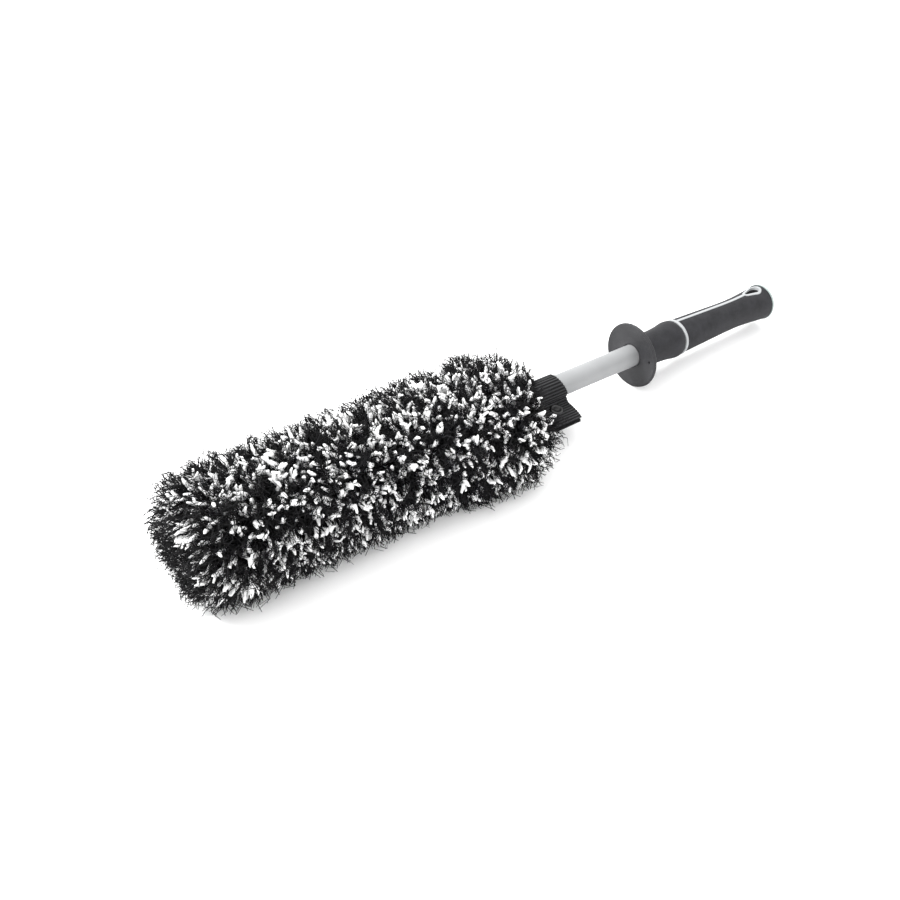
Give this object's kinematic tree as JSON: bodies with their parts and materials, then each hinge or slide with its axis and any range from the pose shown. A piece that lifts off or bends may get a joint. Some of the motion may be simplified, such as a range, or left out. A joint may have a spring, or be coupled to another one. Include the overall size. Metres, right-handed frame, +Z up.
{
  "type": "wheel brush",
  "caption": "Car wheel brush: shaggy microfibre cover on a flexible core, grey tube, round splash guard and waisted soft handle with a hang hole.",
  "frame": {"origin": "middle of the whole brush's box, on the surface that it lies on", "axes": "+X from the head towards the handle's butt, along the surface; +Z up; the brush leans 2.3 degrees, head end up"},
  "size_m": [0.6154, 0.1234, 0.0899],
  "materials": {
    "anodised": "satin anodised tube",
    "guard_plastic": "moulded, fine matt texture",
    "pale_plastic": "moulded, smooth, light grey",
    "soft_grip": "soft-touch thermoplastic rubber, matt",
    "cap_plastic": "translucent pale plastic",
    "steel": "plated",
    "core_plastic": "moulded nylon",
    "foam": "closed-cell foam",
    "knit": "rib-knit elastane and polyester",
    "pile": "microfibre pile, black strands and white tufts",
    "snap_plastic": "moulded acetal, satin"
  },
  "bodies": {
    "brush": {"tube": "anodised", "guard": "guard_plastic", "handle_core": "pale_plastic", "front_grip": "soft_grip", "rear_grip_near": "soft_grip", "rear_grip_far": "soft_grip", "end_cap": "cap_plastic", "lock_pin": "steel", "core_socket": "core_plastic", "core_bar": "core_plastic", "core_rivet_front": "steel", "core_rivet_rear": "steel", "foam_upper": "foam", "foam_lower": "foam", "tip_bumper": "soft_grip"},
    "cover": {"cover_backing": "knit", "pile_upper": "pile", "pile_lower": "pile", "cuff_band": "knit", "snap_stud": "steel", "snap_base": "snap_plastic"},
    "cuff_flap_body": {"cuff_flap": "knit", "snap_cap": "snap_plastic", "snap_socket": "steel"}
  },
  "joints": [
    {"name": "cover_slide", "type": "slide", "parent": "brush", "child": "cover", "axis": [-0.9992, 0, 0.0401], "range_m": [0, 0.33], "deforming": ["cuff_band"]},
    {"name": "cuff_flap_hinge", "type": "hinge", "parent": "cover", "child": "cuff_flap_body", "pos_m": [0.03211, -0.00469, 0.02433], "axis": [-0.9992, 0, 0.0401], "range_deg": [0, 50]}
  ]
}
